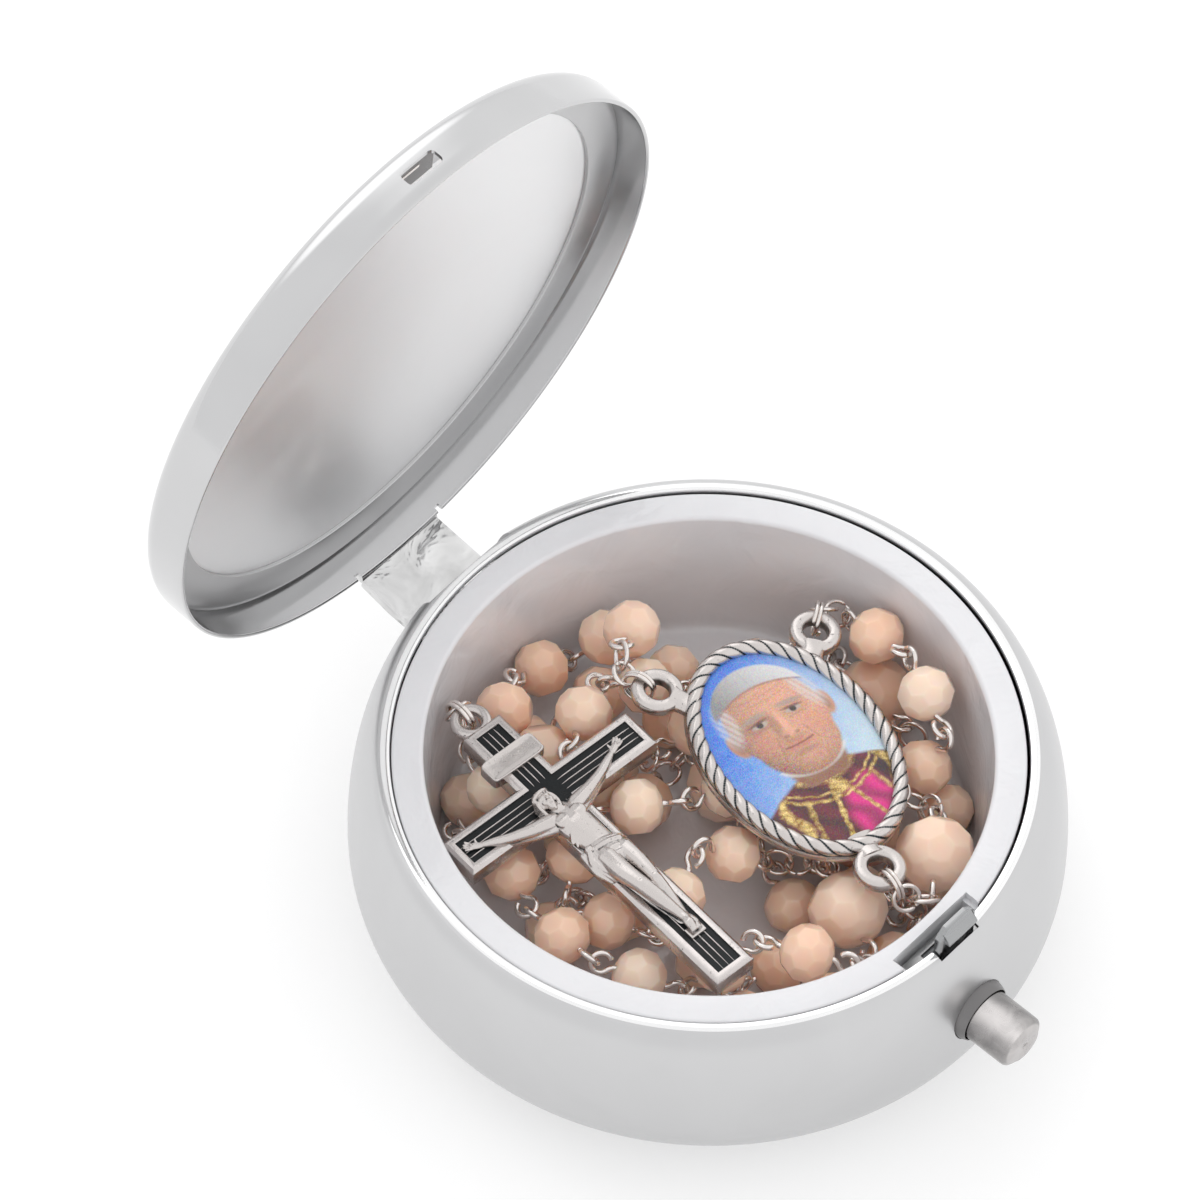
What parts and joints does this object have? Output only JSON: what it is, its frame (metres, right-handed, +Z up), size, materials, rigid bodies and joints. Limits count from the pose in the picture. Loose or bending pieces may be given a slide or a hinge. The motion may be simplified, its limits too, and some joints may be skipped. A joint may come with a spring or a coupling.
{
  "type": "rosary box",
  "caption": "Round metal box with a sprung hinged lid, a button catch and a moulded tray that holds a bead rosary with an oval medal and a crucifix.",
  "frame": {"origin": "centre of the bowl's flat foot, on the surface that it stands on", "axes": "+Z up; the push button faces -Y and the hinge is at +Y; the lid is stored open"},
  "size_m": [0.0736, 0.092, 0.0855],
  "materials": {
    "shell_metal": "polished",
    "lid_inner_metal": "polished",
    "fitting_metal": "polished",
    "hidden_metal": "plain",
    "tray_plastic": "glossy",
    "bead_glass": "faceted, glossy",
    "wire_metal": "polished",
    "cast_metal": "cast, darkened in the hollows",
    "enamel": "smooth",
    "picture": "printed, under clear resin"
  },
  "bodies": {
    "base": {"base_shell": "shell_metal", "liner_tray": "tray_plastic", "button_bush": "fitting_metal", "catch_guide": "hidden_metal", "button_spring": "hidden_metal", "hinge_bracket": "hidden_metal", "hinge_pin": "hidden_metal", "hinge_spring": "hidden_metal"},
    "button": {"push_button": "fitting_metal", "latch_catch": "fitting_metal"},
    "lid": {"lid_shell": "shell_metal", "lid_strap": "fitting_metal", "lid_ring": "lid_inner_metal", "lid_disc": "lid_inner_metal"},
    "rosary": {"decade_1_beads": "bead_glass", "decade_2_beads": "bead_glass", "decade_3_beads": "bead_glass", "decade_4_beads": "bead_glass", "decade_5_beads": "bead_glass", "our_father_beads": "bead_glass", "pendant_beads": "bead_glass", "decade_1_pins": "wire_metal", "decade_2_pins": "wire_metal", "decade_3_pins": "wire_metal", "decade_4_pins": "wire_metal", "decade_5_pins": "wire_metal", "our_father_pins": "wire_metal", "pendant_pins": "wire_metal", "chain_links": "wire_metal", "jump_rings": "wire_metal", "medal_frame": "cast_metal", "medal_picture": "picture", "crucifix_cross": "cast_metal", "crucifix_enamel": "enamel", "crucifix_title_plate": "cast_metal", "crucifix_figure": "cast_metal"}
  },
  "joints": [
    {"name": "lid_hinge", "type": "hinge", "parent": "base", "child": "lid", "pos_m": [0, 0.03487, 0.01591], "axis": [1, 0, 0], "range_deg": [0, 84.5], "stiffness_Nm_per_rad": 0.003, "springref_deg": -34.38, "deforming": ["hinge_spring"]},
    {"name": "button_slide", "type": "slide", "parent": "base", "child": "button", "axis": [0, 1, 0], "range_m": [0, 0.0012], "stiffness_N_per_m": 600, "deforming": ["button_spring"]},
    {"name": "rosary_lift", "type": "slide", "parent": "base", "child": "rosary", "axis": [0, 0, 1], "range_m": [0, 0.04]}
  ]
}
